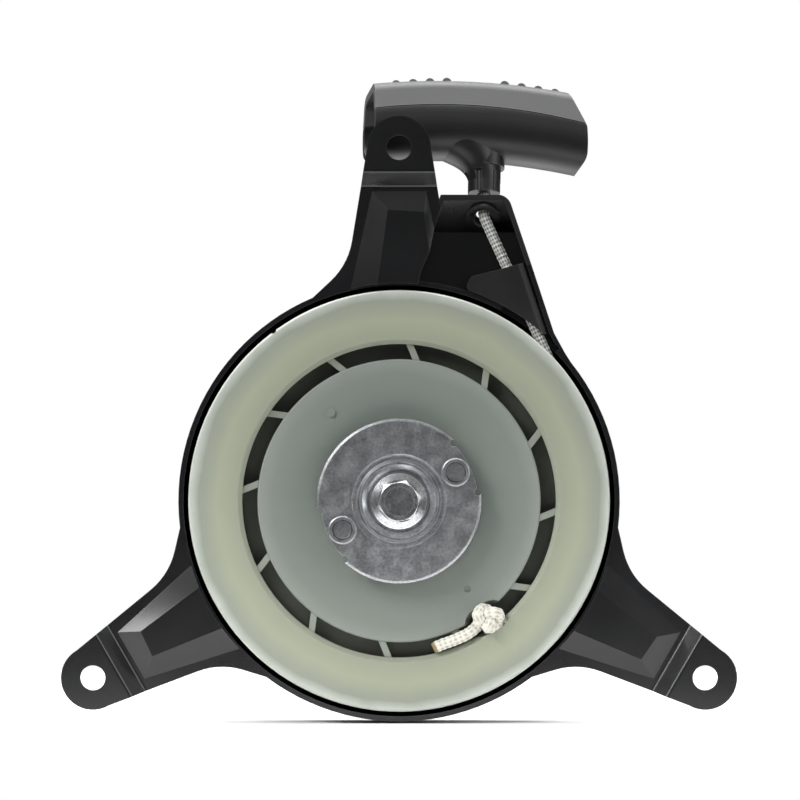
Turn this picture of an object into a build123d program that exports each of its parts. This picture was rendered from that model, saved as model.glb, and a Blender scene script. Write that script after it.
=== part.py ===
from build123d import *
import os
from math import atan2, cos, degrees, hypot, radians, sin

# Recoil starter of a small four-stroke engine, in millimetres.
# Frame: +Z up, +X right, -Y towards the engine. The reel turns about the Y axis, and the
# three mounting tabs have their engine-side faces in the plane Y = 0.

# ---------------------------------------------------------------- driving dimensions
SHEET = 1.6                 # steel sheet of the case
HOLE_PCD = 221.0            # circle of the three mounting holes
HOLE_R = 3.9
TAB_R = 10.0                # rounded end of each mounting tab
LEG_ANGLES = (90, 210, 330)

PAN_R = 69.2                # case pan, outside
RIM_Y = 5.0                 # front edge of the pan and front face of the legs
FLOOR_Y = 22.0              # front face of the pan's floor
LEG_BACK_Y = 11.0           # back edge of the legs' turned flanges
PANEL_RISE = 2.2            # height of each leg's raised panel
GUIDE_T = 1.2               # sheet of the rope guide plate

REEL_R = 66.0
REEL_Y = 3.0                # front face of the reel's annulus
FLANGE_T = 2.4
GROOVE_W = 4.2
BACK_FLANGE_T = 1.8
DRUM_R = 51.7               # bottom of the rope groove
DRUM_BORE_R = 49.2          # inner face of the drum wall, outer side of the slots
SLOT_FRONT_R = 50.5
HUB_R = 44.4
HUB_Y = 5.0                 # front face of the hub disc
HUB_WEB_T = 2.8
RIB_COUNT = 12
RIB_T = 2.0
RIB_PHASE = 24.5
RIB_LEAD = 4.4              # degrees by which a rib's outer end leads its inner end
SPRING_ROOM_R = 41.0        # inside radius of the spring chamber in the reel's back
REEL_BACK_Y = 19.6

ROPE_R = 1.75
ROPE_PITCH = 3.62           # radial step of one turn of rope
ROPE_OUT_R = 61.05          # centre line where the rope leaves the reel
ROPE_LEAVE = 24.0           # degrees, where it leaves
ROPE_END = -43.0            # degrees, where its inner end turns into the reel
ROPE_TURNS = 2
GROOVE_Y = REEL_Y + FLANGE_T + GROOVE_W / 2

POST_R = 7.0
POST_BASE_R = 9.0
POST_STEP_Y = 10.9
POST_FRONT_Y = 1.7
NECK_R = 5.5
SEAT_Y = -1.4               # face under the centre bolt's flange
BOLT_FLANGE_R = 8.75
BOLT_HEX_AF = 12.0
BOLT_R = 3.9

DISC_R = 25.9
DISC_Y = -0.8               # front face of the retainer disc
DISC_T = 1.2
DISC_RIM_Y = 1.4
PIN_RADIUS = 19.85          # distance of the pawl pins from the axis
PIN_ANGLES = (27, 207)
PIN_R = 3.05
EYELET_R = 4.44
PAWL_Y = 1.7
PAWL_T = 3.1
PAWL_REACH = 9.5

EYE_X = 26.4                # rope eyelet in the pocket's inclined wall
EYE_Y = 13.5
EYE_Z = 89.7
WALL_TILT = 49.0            # degrees between the inclined wall's normal and the vertical
EYELET_THROAT_R = 2.1       # the rope bears on the throat
POCKET_FLOOR_Y = 18.0

STEM_FOOT = (26.8, 16.5, 96.6)   # centre of the handle stem's lower end
STEM_LEAN = 1.0             # degrees to the right
STEM_BACK = 15.0            # degrees away from the engine
GRIP_TURN = 10.0            # degrees about the stem
GRIP_LEFT = 37.2            # open left end of the grip, from the stem's axis
GRIP_RIGHT = 31.4           # rounded right end of the grip, from the stem's axis
GRIP_H = 23.6
GRIP_D = 23.5
GRIP_MID = 23.0             # grip centre above the stem's foot
GRIP_BOW_R = 215.0          # radius of the grip's arched centre line
GRIP_WALL = 2.4
PARTING_Z = 25.2            # top of the arched parting line above the stem's foot
PARTING_R = 175.0
FINGER_RIB_R = 1.5
FINGER_RIB_COUNT = 4        # on each side of the smooth middle
FINGER_RIB_PITCH = 5.4
STEM_R = 5.1
STEM_BORE_R = 2.1
WASHER_Z = 13.4             # seat of the rope's washer above the stem's foot

SPRING_T = 0.7              # return spring's strip
SPRING_Y = (11.0, 18.2)
SPRING_IN_R = 10.4
SPRING_PITCH = 3.4
SPRING_HALF_TURNS = 17

PARTS = {}


# ---------------------------------------------------------------- helpers
def facing(y):
    """Drawing plane at depth y, X to the right and Z up, that faces the engine."""
    return Plane(origin=(0, y, 0), x_dir=(1, 0, 0), z_dir=(0, -1, 0))


def slab(sketch, y_front, y_back):
    """Prism of a sketch between two depths."""
    return extrude(facing(y_back) * sketch, amount=y_back - y_front)


def ring(r_out, r_in, y_front, y_back):
    """Flat ring about the reel's axis."""
    return slab(Circle(r_out) - Circle(r_in), y_front, y_back)


def disc(radius, y_front, y_back, x=0.0, z=0.0):
    """Round plate or pin along Y."""
    return slab(Pos(x, z) * Circle(radius), y_front, y_back)


def turned(points):
    """Solid of revolution about the reel's axis from (radius, depth) points."""
    return revolve(make_face(Polyline(*points, close=True)), axis=Axis.Y)


def polar(radius, angle):
    """X and Z of a point given by radius and angle, anticlockwise from +X."""
    return radius * cos(radians(angle)), radius * sin(radians(angle))


def swing(shape, angle):
    """Turn a shape about the reel's axis, anticlockwise as seen from the engine."""
    return Rot(0, -angle, 0) * shape


def rod(start, end, radius):
    """Round bar between two points."""
    line = Line(start, end)
    return sweep(Plane(origin=start, z_dir=line % 0) * Circle(radius), path=line)


def edges_at(shape, y, tolerance=0.01):
    """Edges that lie wholly at one depth."""
    return shape.edges().filter_by_position(Axis.Y, y - tolerance, y + tolerance)


def keep(name, shape):
    """Name a finished piece."""
    shape.label = name
    PARTS[name] = shape


# ---------------------------------------------------------------- stamped case
def leg_face(inset=0.0):
    """Outline of one leg that points along +X, from inside the pan to its round tab."""
    tab = TAB_R - inset
    corners = [(50, 31 - inset), (60, 31 - inset), (74, 16.0 - inset), (HOLE_PCD / 2, tab)]
    lower = [(x, -y) for x, y in reversed(corners)]
    face = make_face(Polyline(*corners, *lower, close=True))
    face = fillet(face.vertices().filter_by_position(Axis.X, 73.9, 74.1), 22 + inset)
    return face + Pos(HOLE_PCD / 2, 0) * Circle(tab)


def leg():
    """One leg: flat tab, joggle down to the leg's face, turned flanges and a raised panel."""
    bend_out = 103
    bend_in = 98.5
    flange_end = 100
    back = SHEET * 1.15
    profile = Polyline(
        (HOLE_PCD / 2 + TAB_R, 0),
        (bend_out, 0),
        (bend_in, RIM_Y),
        (50, RIM_Y),
        (50, RIM_Y + SHEET),
        (bend_in - SHEET / 2, RIM_Y + SHEET),
        (bend_out - back / 2, SHEET),
        (HOLE_PCD / 2 + TAB_R, SHEET),
        close=True,
    )
    side = make_face(profile)
    side = fillet(side.vertices().filter_by_position(Axis.X, 90, 104), 1.5)
    web = extrude(side, amount=40, both=True) & slab(leg_face(), -1, 12)
    reach = Pos(50, 0) * Rectangle(2 * (flange_end - 50), 100)
    block = slab(leg_face() & reach, RIM_Y, LEG_BACK_Y)
    block = fillet(edges_at(block, RIM_Y).filter_by_position(Axis.X, 52, flange_end - 0.5), 2.6)
    relief = Polyline(
        (flange_end - 1.5, RIM_Y + 1.7),
        (flange_end + 1, RIM_Y - 1),
        (flange_end + 1, 12),
        (86, 12),
        close=True,
    )
    block -= extrude(make_face(relief), amount=40, both=True)
    hollow = slab(leg_face(SHEET), RIM_Y + SHEET, LEG_BACK_Y + 1)
    hollow = fillet(edges_at(hollow, RIM_Y + SHEET).filter_by_position(Axis.X, 52, 200), 1.0)
    flanged = block - hollow
    return web + flanged


def leg_panel(inner_side):
    """Raised panel of a leg with broad sloping flanks; inner_side is its lower edge's offset."""
    foot = Polyline((97, 8.4), (97, -8.4), (58, -17), (58, 17), close=True)
    top = Polyline((91.2, 3.5), (90.5, -inner_side), (58, -inner_side - 4), (58, 8.2), close=True)
    return loft([facing(RIM_Y) * make_face(foot), facing(RIM_Y - PANEL_RISE) * make_face(top)], ruled=True)


def pocket_side(z_top, y_front, y_back, lift):
    """Side view (Y, Z) of the rope pocket under its inclined wall, lifted along the normal."""
    slope = radians(WALL_TILT)
    normal_y = sin(slope)
    normal_z = cos(slope)
    eye_y = EYE_Y + lift * normal_y
    eye_z = EYE_Z + lift * normal_z
    z_back = eye_z - (y_back - eye_y) * normal_y / normal_z
    y_top = eye_y - (z_top - eye_z) * normal_z / normal_y
    outline = Polyline(
        (y_front, 30), (y_back, 30), (y_back, z_back), (y_top, z_top), (y_front, z_top), close=True
    )
    return extrude(Plane.YZ * make_face(outline), amount=80)


def pocket_outline(wall):
    """Front outline of the rope pocket, outside (wall 0) or inside (wall one sheet)."""
    left = [(13.1, 96.2), (9.5, 85.6), (7.9, 77.9), (5.3, 72.0), (3.0, 62.0)]
    shifted = [(x + wall, z) for x, z in left]
    right = [(34.2 - wall, 96.2), (48.6 - wall, 52.6), (52.0 - wall, 46.4), (63.0 - wall, 29.0)]
    face = make_face(Polyline(*shifted, (20, 40), (40, 29), *reversed(right), close=True))
    corner = face.vertices().sort_by_distance((right[0][0], right[0][1], 0))[0]
    return fillet(corner, 4.5 - wall)


def pocket_outer():
    """Outer solid of the rope pocket, with its front edge slanting back towards the top."""
    shape = slab(pocket_outline(0), RIM_Y, POCKET_FLOOR_Y + SHEET)
    shape &= pocket_side(96.2, RIM_Y, POCKET_FLOOR_Y + SHEET, SHEET)
    slant = Polyline((RIM_Y - 1, 74), (RIM_Y, 74), (10.0, 96.2), (10.0, 98), (RIM_Y - 1, 98), close=True)
    shape -= extrude(Plane.YZ * make_face(slant), amount=80)
    return shape


def pocket_inner():
    """The rope pocket's hollow."""
    shape = slab(pocket_outline(SHEET), -5, POCKET_FLOOR_Y)
    return shape & pocket_side(99, -5, POCKET_FLOOR_Y, 0)


def sector(radius, start, end):
    """Pie slice between two angles."""
    middle = (start + end) / 2
    arc = ThreePointArc(polar(radius, start), polar(radius, middle), polar(radius, end))
    return make_face(Line((0, 0), polar(radius, start)) + arc + Line(polar(radius, end), (0, 0)))


def housing():
    """Stamped case: pan, three legs and the rope pocket, all one pressing."""
    floor_back = FLOOR_Y + SHEET
    drum = disc(PAN_R, RIM_Y, floor_back)
    drum = fillet(edges_at(drum, floor_back), 5)
    room = disc(PAN_R - SHEET, RIM_Y - 20, FLOOR_Y)
    room = fillet(edges_at(room, FLOOR_Y), 3.4)
    shape = pocket_outer()
    for angle in LEG_ANGLES:
        shape += swing(leg(), angle)
    shape -= pocket_inner()
    for angle in LEG_ANGLES:
        panel = swing(leg_panel(8.0 if angle == 90 else 5.1), angle) - disc(PAN_R - SHEET, -5, 30)
        hollow = Pos(0, SHEET, 0) * panel - disc(PAN_R, -5, 30)
        if angle == 90:
            panel -= pocket_inner()
            hollow -= pocket_outer() + Pos(0, -1, 0) * pocket_outer()
        shape += panel
        shape -= hollow
    shape -= disc(PAN_R - 1, -5, 40)
    shape += drum - room
    ear = make_face(Polyline((21.5, 64.0), (22.0, 69.6), (30.4, 71.4), (31.4, 61.6), close=True))
    shape += slab(ear, RIM_Y, RIM_Y + SHEET) - disc(PAN_R - SHEET, 0, 30)
    window = sector(80, 43.5, 62) - Circle(50)
    shape -= slab(window, RIM_Y - 3, 14) & slab(Circle(PAN_R + 0.2), 0, 20)
    for angle in LEG_ANGLES:
        x, z = polar(HOLE_PCD / 2, angle)
        shape -= disc(HOLE_R, -1, 3, x, z)
    x, z = polar(PAN_R, 127)
    shape -= slab(Pos(x, z) * Circle(1.2), RIM_Y - 1, RIM_Y + 1.5)
    shape -= disc(6.1, FLOOR_Y - 1, floor_back + 1)
    slope = radians(WALL_TILT)
    eye = Plane(origin=(EYE_X, EYE_Y, EYE_Z), z_dir=(0, sin(slope), cos(slope)))
    shape -= extrude(eye * Circle(4.3), amount=4, both=True)
    return shape


def rope_guide_plate():
    """Bent plate that bridges the rope window in the pan's rim, its right edge turned inwards."""
    front = RIM_Y - GUIDE_T
    foot = (46.9, 52.4)
    head = (39.5, 74.8)
    corners = [(20.6, 66.4), (22.7, 70.4), (31.6, 72.6), head, foot, (45.6, 52.2)]
    arc = ThreePointArc((45.6, 52.2), (33.9, 60.35), (20.6, 66.4))
    face = make_face(Polyline(*corners) + arc)
    face = fillet(face.vertices().sort_by_distance((20.6, 66.4, 0))[0:2], 1.6)
    length = hypot(head[0] - foot[0], head[1] - foot[1])
    normal = (head[1] - foot[1]) / length, (foot[0] - head[0]) / length
    edge = Plane(
        origin=(foot[0], 0, foot[1]),
        x_dir=(normal[0], 0, normal[1]),
        z_dir=(-normal[1], 0, normal[0]),
    )
    bend = Polyline(
        (-6, front),
        (-2.3, front),
        (0, front + 2.3),
        (0, 12),
        (-GUIDE_T, 12),
        (-GUIDE_T, front + 2.8),
        (-2.8, RIM_Y),
        (-6, RIM_Y),
        close=True,
    )
    turned_edge = extrude(edge * make_face(bend), amount=60, both=True) & slab(face, front - 1, 13)
    beyond = extrude(edge * (Pos(7.7, 5) * Rectangle(20, 20)), amount=60, both=True)
    return (slab(face, front, RIM_Y) - beyond) + turned_edge


def rope_eyelet():
    """Flared bush with a rounded throat that carries the rope through the inclined wall."""
    slope = radians(WALL_TILT)
    eye = Plane(origin=(EYE_X, EYE_Y, EYE_Z), z_dir=(0, sin(slope), cos(slope)))
    low = -1.1
    high = SHEET + 0.9
    outline = Line((3.9, low), (5.2, low)) + Line((5.2, low), (5.2, 0)) + Line((5.2, 0), (4.25, 0))
    outline += Line((4.25, 0), (4.25, SHEET)) + Line((4.25, SHEET), (5.0, SHEET))
    outline += Line((5.0, SHEET), (5.0, high)) + Line((5.0, high), (3.9, high))
    outline += ThreePointArc((3.9, high), (EYELET_THROAT_R, (low + high) / 2), (3.9, low))
    return eye * revolve(Plane.XZ * make_face(outline), axis=Axis.Z)


keep("housing", housing())
keep("rope_guide_plate", rope_guide_plate())
keep("rope_eyelet", rope_eyelet())


# ---------------------------------------------------------------- fixed post and centre bolt
def centre_post():
    """Steel post riveted into the pan's floor; the reel turns on it."""
    points = [
        (BOLT_R + 0.1, SEAT_Y), (NECK_R, SEAT_Y), (NECK_R, POST_FRONT_Y), (POST_R, POST_FRONT_Y),
        (POST_R, POST_STEP_Y), (POST_BASE_R, POST_STEP_Y), (POST_BASE_R, 20.3), (12.5, 20.3),
        (12.5, FLOOR_Y), (6.0, FLOOR_Y), (6.0, 25.2), (8.4, 25.2), (7.6, 26.6), (0, 26.6),
        (0, 16.0), (BOLT_R + 0.1, 16.0),
    ]
    shape = turned(points)
    return shape - Pos(POST_BASE_R - 2.0, 14.8, 0) * Box(5.0, 8.6, 2.2)


def centre_bolt():
    """Flanged hexagon bolt with a round recess in its head."""
    flange_face = SEAT_Y - 1.6
    head_top = flange_face - 5.4
    flange = [(0, SEAT_Y), (BOLT_FLANGE_R, SEAT_Y), (BOLT_FLANGE_R, SEAT_Y - 0.8), (6.6, flange_face),
              (0, flange_face)]
    hexagon = slab(RegularPolygon(BOLT_HEX_AF / 2, 6, major_radius=False, rotation=12), head_top, flange_face)
    crown = turned([
        (0, head_top),
        (5.9, head_top),
        (7.0, head_top + 0.9),
        (7.0, flange_face),
        (0, flange_face),
    ])
    shape = turned(flange) + (hexagon & crown)
    shape -= disc(4.66, head_top - 1, head_top + 0.9)
    return shape + disc(BOLT_R, SEAT_Y, 14.5)


keep("centre_post", centre_post())
keep("post_backing_plate", fillet(edges_at(ring(15, 6.05, 23.6, 25.2), 25.2).sort_by(SortBy.LENGTH)[-1], 0.6))
keep("centre_bolt", centre_bolt())
keep("thrust_washer_front", ring(8.5, NECK_R + 0.1, SEAT_Y + 0.02, SEAT_Y + 0.5))
keep("thrust_washer_rear", ring(POST_BASE_R, POST_R + 0.1, POST_STEP_Y - 0.35, POST_STEP_Y))


# ---------------------------------------------------------------- reel
def knot_place(index):
    """Centres of the rope knot's two lobes in the reel's slot."""
    return ((29.5, 4.0, -35.7), (25.0, 4.3, -38.4))[index]


def rope_end():
    """Centre and direction of the wound rope's inner end."""
    x, z = polar(ROPE_OUT_R - ROPE_PITCH * ROPE_TURNS, ROPE_END)
    return (x, GROOVE_Y, z), (sin(radians(ROPE_END)), 0, -cos(radians(ROPE_END)))


def knot_lead():
    """Corner points of the short rope from the wound rope's end to the knot."""
    (x, y, z), (dx, _, dz) = rope_end()
    corner = (x + 7.0 * dx, y, z + 7.0 * dz)
    return (x, y, z), corner, knot_place(0)


def rib(angle):
    """Slanted rib that joins the hub to the drum across the slot."""
    inner = Vector(*polar(HUB_R - 1.0, angle - RIB_LEAD / 2))
    outer = Vector(*polar(DRUM_BORE_R + 1.0, angle + RIB_LEAD / 2))
    along = outer - inner
    middle = (inner + outer) / 2
    lie = Rot(0, 0, degrees(atan2(along.Y, along.X)))
    bar = Pos(middle.X, middle.Y) * lie * Rectangle(along.length, RIB_T)
    return slab(bar, HUB_Y + 0.5, 11.4)


def reel():
    """Nylon rope reel with its hub, slots, ribs, groove and spring chamber."""
    front_back = REEL_Y + FLANGE_T
    back_front = front_back + GROOVE_W
    back_back = back_front + BACK_FLANGE_T
    bore = POST_R + 1.35
    web_back = HUB_Y + HUB_WEB_T
    drum = turned([
        (SLOT_FRONT_R, REEL_Y), (REEL_R - 0.5, REEL_Y), (REEL_R, REEL_Y + 0.5), (REEL_R, front_back),
        (DRUM_R, front_back), (DRUM_R, back_front), (REEL_R, back_front), (REEL_R, back_back),
        (DRUM_BORE_R, back_back), (DRUM_BORE_R, REEL_Y + 1.6),
    ])
    hub = turned([
        (bore, HUB_Y), (HUB_R - 0.4, HUB_Y), (HUB_R, HUB_Y + 0.4), (HUB_R, REEL_BACK_Y),
        (SPRING_ROOM_R, REEL_BACK_Y), (SPRING_ROOM_R, web_back), (11.5, web_back), (11.5, 10.4),
        (bore, 10.4),
    ])
    shape = hub + drum + ring(DRUM_BORE_R + 1, HUB_R - 1, back_front + 0.2, back_back)
    for index in range(RIB_COUNT):
        shape += rib(RIB_PHASE + index * 360 / RIB_COUNT)
    for angle in PIN_ANGLES:
        x, z = polar(PIN_RADIUS, angle)
        shape += disc(5.6, web_back, 10.4, x, z)
        shape -= disc(4.7, HUB_Y - 1, HUB_Y + 2.4, x, z)
        shape -= disc(PIN_R, HUB_Y, 9.4, x, z)
    for index, radius in enumerate((4.8, 4.4)):
        shape -= Pos(*knot_place(index)) * Sphere(radius)
    x, y, z = knot_place(0)
    shape -= slab(Pos(x, z) * Circle(4.5), REEL_Y - 1, y)
    start, corner, end = knot_lead()
    shape -= sweep(Plane(origin=start, z_dir=Line(start, corner) % 0) * Circle(2.05),
                   path=FilletPolyline(start, corner, end, radius=5.0))
    x, z = polar(35, 127.7)
    shape += disc(1.3, HUB_Y - 0.6, HUB_Y, x, z)
    x, z = polar(35, -52.2)
    shape -= disc(1.1, HUB_Y - 1, HUB_Y + 0.5, x, z)
    x, z = polar(REEL_R + 0.4, 126.5)
    shape -= disc(1.0, REEL_Y - 1, front_back + 1, x, z)
    shape -= Pos(-SPRING_ROOM_R - 0.5, 14.8, 0) * Box(3.4, 8.4, 2.4)
    return shape


keep("reel", reel())
keep("reel_bush", ring(POST_R + 1.35, POST_R + 0.06, HUB_Y - 0.4, 10.5))


# ---------------------------------------------------------------- return spring
def half_ring(radius, thickness, centre, upper):
    """Half of a flat strip ring, on the upper or lower side."""
    face = Circle(radius + thickness / 2) - Circle(radius - thickness / 2)
    side = radius + thickness
    cover = Pos(0, side / 2 if upper else -side / 2) * Rectangle(2 * side, side)
    return Pos(centre, 0) * (face & cover)


def return_spring():
    """Spiral strip spring: half rings about two centres, hooked at both ends."""
    step = SPRING_PITCH / 2
    strip = Sketch()
    for index in range(SPRING_HALF_TURNS):
        upper = index % 2 == 0
        strip += half_ring(SPRING_IN_R + index * step, SPRING_T, 0 if upper else step, upper)
    first_hook = Pos(SPRING_IN_R - 2.2, 0.15) * Rectangle(4.8, SPRING_T)
    outer = SPRING_IN_R + (SPRING_HALF_TURNS - 1) * step
    last_hook = Pos(-outer - 2.1, 0.2) * Rectangle(4.8, SPRING_T)
    shape = slab(strip + first_hook + last_hook, SPRING_Y[0], SPRING_Y[1])
    return shape


keep("return_spring", return_spring())
keep("spring_cup", ring(SPRING_ROOM_R - 0.05, 10.2, 18.5, 19.3))


# ---------------------------------------------------------------- retainer disc and pawls
def rim_gap(start, end):
    """Cut through the disc's turned rim between two angles."""
    return slab(sector(40, start, end) - Circle(DISC_R - 1.25), DISC_Y - 1, DISC_RIM_Y + 1)


def retainer_plate():
    """Pressed disc with a turned rim, a raised ring and two eyelets for the pawl pins."""
    back = DISC_Y + DISC_T
    face = turned([
        (NECK_R + 0.4, DISC_Y + 0.1),
        (9.3, DISC_Y + 0.1),
        (11.5, DISC_Y - 1.5),
        (12.3, DISC_Y - 1.5),
        (13.1, DISC_Y + 0.3),
        (14.2, DISC_Y + 0.3),
        (14.8, DISC_Y),
        (DISC_R - 0.9, DISC_Y),
        (DISC_R - 0.25, DISC_Y + 0.25),
        (DISC_R, DISC_Y + 0.9),
        (DISC_R, DISC_RIM_Y),
        (DISC_R - 1.2, DISC_RIM_Y),
        (DISC_R - 1.2, back),
        (15.2, back),
        (14.6, back + 0.3),
        (12.8, back + 0.3),
        (12.0, back - 1.3),
        (11.4, back - 1.3),
        (9.5, back + 0.1),
        (NECK_R + 0.4, back + 0.1),
    ])
    for angle in PIN_ANGLES:
        x, z = polar(PIN_RADIUS, angle)
        collar = disc(EYELET_R, DISC_Y - 1.3, back, x, z)
        face += fillet(edges_at(collar, DISC_Y - 1.3), 0.5)
        face -= disc(PIN_R + 0.2, DISC_Y - 2, back + 1, x, z)
        face -= rim_gap(angle - 20.5, angle + 20)
        for side in (-20.5, 20):
            x, z = polar(DISC_R - 1.0, angle + side)
            face -= disc(1.1, DISC_Y - 2, DISC_RIM_Y + 1, x, z)
    return face


def pawl():
    """Hardened pawl, hub on its pin, tip ahead in the driving direction."""
    tip = PAWL_REACH
    outline = Circle(4.2)
    corners = [(-1.0, 4.1), (tip, 2.4), (tip + 0.9, -0.6), (tip - 0.6, -1.8), (1.5, -3.9)]
    arm = make_face(Polyline(*corners, close=True))
    outline += fillet(arm.vertices(), 0.5)
    outline -= Circle(PIN_R + 0.1)
    return slab(outline, PAWL_Y, PAWL_Y + PAWL_T)


def at_pin(shape, angle, lead=0.0):
    """Move a shape drawn about the origin to a pawl pin, its +X side along the turning direction."""
    x, z = polar(PIN_RADIUS, angle)
    return Pos(x, 0, z) * Rot(0, -(angle + 90 + lead), 0) * shape


def pawl_pin():
    """Pin with a flat, lightly chamfered end, pressed into the hub."""
    end = DISC_Y - 0.7
    return turned([(0, end), (PIN_R - 0.3, end), (PIN_R, end + 0.3), (PIN_R, 9.4), (0, 9.4)])


def pawl_spring():
    """Light torsion coil about the pin, under the pawl."""
    path = Helix(pitch=0.72, height=1.5, radius=3.9)
    start = path @ 0
    coil = sweep(Plane(origin=start, z_dir=path % 0) * Circle(0.28), path=path, is_frenet=True)
    return Pos(0, HUB_Y + 2.0, 0) * Rot(90, 0, 0) * coil


def friction_spring():
    """Wire clip on the post whose arms hold the pawls back so that they swing out."""
    shape = Pos(0, 3.2, 0) * Rot(90, 0, 0) * Torus(POST_R + 1.0, 0.7)
    for angle in PIN_ANGLES:
        x, z = polar(POST_R + 1.2, angle)
        tip_x, tip_z = polar(14.9, angle)
        shape += rod((x, 3.2, z), (tip_x, 3.2, tip_z), 0.7)
    return shape


keep("retainer_plate", retainer_plate())
keep("pawl_a", at_pin(pawl(), PIN_ANGLES[0]))
keep("pawl_b", at_pin(pawl(), PIN_ANGLES[1]))
keep("pawl_pins", Compound([at_pin(pawl_pin(), angle) for angle in PIN_ANGLES]))
keep("pawl_springs", Compound([at_pin(pawl_spring(), angle) for angle in PIN_ANGLES]))
keep("friction_spring", friction_spring())


# ---------------------------------------------------------------- rope
def rope_arc(radius, centre, y, start, span):
    """Arc of rope in a plane parallel to the reel, running clockwise from an angle."""
    x, z = polar(radius, start)
    tangent = (sin(radians(start)), 0, -cos(radians(start)))
    section = Plane(origin=(centre[0] + x, y, centre[1] + z), z_dir=tangent) * Circle(ROPE_R)
    axis = Axis((centre[0], y, centre[1]), (0, 1, 0))
    return revolve(section, axis=axis, revolution_arc=span)


def rope_wound():
    """Rope on the reel: a flat spiral of half turns about two centres."""
    step = ROPE_PITCH / 2
    remaining = 360 * ROPE_TURNS + ROPE_LEAVE - ROPE_END
    shape = None
    index = 0
    while remaining > 0:
        span = min(180, remaining)
        centre = polar(0 if index % 2 == 0 else -step, ROPE_LEAVE)
        start = ROPE_LEAVE if index % 2 == 0 else ROPE_LEAVE - 180
        arc = rope_arc(ROPE_OUT_R - index * step, centre, GROOVE_Y, start, span)
        shape = arc if shape is None else shape + arc
        remaining -= span
        index += 1
    return shape


def tube(points, radii):
    """Rope along straight runs joined by tangent arcs."""
    path = FilletPolyline(*points, radius=radii)
    return sweep(Plane(origin=points[0], z_dir=path % 0) * Circle(ROPE_R), path=path)


def handle_frame():
    """Handle's own frame: origin at the stem's foot, Z up the stem, X along the grip."""
    return Pos(*STEM_FOOT) * Rot(0, STEM_LEAN, 0) * Rot(-STEM_BACK, 0, 0) * Rot(0, 0, GRIP_TURN)


def rope_points():
    """Rope's corner points: off the reel, out of the groove, through the eyelet, up the stem."""
    x, z = polar(ROPE_OUT_R, ROPE_LEAVE)
    leave = Vector(x, GROOVE_Y, z)
    along = Vector(-sin(radians(ROPE_LEAVE)), 0, cos(radians(ROPE_LEAVE)))
    slope = radians(WALL_TILT)
    eye = Vector(EYE_X, EYE_Y, EYE_Z) + Vector(0, sin(slope), cos(slope)) * 0.6
    foot = Vector(*STEM_FOOT)
    up = Vector(0, 0, 1).rotate(Axis.X, -STEM_BACK).rotate(Axis.Y, STEM_LEAN)
    return leave, leave + along * 31, eye, eye + (foot - eye) * 0.5, foot, foot + up * 14.4


def reel_knot():
    """Stopper knot in the reel's slot with its tail lying along the slot."""
    seam_turn = Rot(37, 21, 13)
    shape = Pos(*knot_place(0)) * seam_turn * Sphere(4.2) + Pos(*knot_place(1)) * seam_turn * Sphere(3.8)
    shape += tube(knot_lead(), 5.0)
    return shape + rope_arc(46.85, (0, 0), 3.4, -58, 19)


LEAVE, BEND, EYE, SPLIT, FOOT, TOP = rope_points()
keep("rope_wound", rope_wound())
keep("rope_run", tube((LEAVE, BEND, EYE, SPLIT), [150, 7]))
keep("rope_pull", tube((SPLIT, FOOT, TOP), [12]))
keep("reel_knot", reel_knot())


# ---------------------------------------------------------------- pull handle
def grip_ends():
    """Front view that cuts the grip's ends: upright at the left, slanted and rounded at the right."""
    left = [(-34.0, 6), (-GRIP_LEFT, 12), (-GRIP_LEFT, 42)]
    right = [(20.8, 42), (GRIP_RIGHT - 0.7, 21.3), (GRIP_RIGHT, 11.5), (GRIP_RIGHT - 5.2, 4)]
    outline = make_face(Polyline(*left, *right, close=True))
    outline = fillet(outline.vertices().filter_by_position(Axis.Y, 11, 22), 4.5)
    return extrude(Plane.XZ * outline, amount=40, both=True)


def grip_section(inset):
    """End view of the grip: flat-sided oval with a narrower top."""
    side = GRIP_D / 2 - inset
    top = GRIP_H / 2 - inset
    narrow = side - 2.4
    corners = [(-narrow, top), (narrow, top), (side, 1), (side, -top), (-side, -top), (-side, 1)]
    face = make_face(Polyline(*corners, close=True))
    face = fillet(face.vertices().filter_by_position(Axis.Y, -top - 0.1, -top + 0.1), 10.5 - inset)
    face = fillet(face.vertices().filter_by_position(Axis.Y, 0.9, 1.1), 9)
    return fillet(face.vertices().filter_by_position(Axis.Y, top - 0.1, top + 0.1), 4.2 - inset / 2)


def bowed(section, half_angle=12):
    """Bar of one section along the grip's arched centre line."""
    centre = Pos(0, 0, GRIP_MID - GRIP_BOW_R)
    start = centre * Rot(0, -half_angle, 0) * Pos(0, 0, GRIP_BOW_R) * (Plane.YZ * section)
    return revolve(start, axis=Axis((0, 0, GRIP_MID - GRIP_BOW_R), (0, 1, 0)), revolution_arc=2 * half_angle)


def above_parting(lift=0.0):
    """Everything above the grip's arched parting line."""
    block = Pos(0, 0, 60) * Box(120, 80, 100)
    below = Pos(-4, 0, PARTING_Z + lift - PARTING_R) * Rot(90, 0, 0) * Cylinder(PARTING_R, 90)
    return block - below


def stem():
    """Fluted stem that flares into the grip, mostly to the left."""
    shape = Pos(0, 0, 1.8) * Cylinder(STEM_R, 3.6)
    stations = [
        (3.6, 5.1, 5.1),
        (6.2, 5.6, 5.5),
        (8.6, 6.9, 6.2),
        (10.8, 9.2, 7.2),
        (13.4, 12.0, 8.6),
        (17.0, 14.0, 10.3),
    ]
    flare = loft([Pos(5.2 - wide, 0, z) * Ellipse(wide, deep) for z, wide, deep in stations])
    shape += flare
    for index in range(6):
        x, y = polar(STEM_R + 0.75, 60 * index)
        shape -= rod((x, y, -1.0), (1.06 * x, 1.06 * y, 6.8), 1.2)
    return shape


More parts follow.
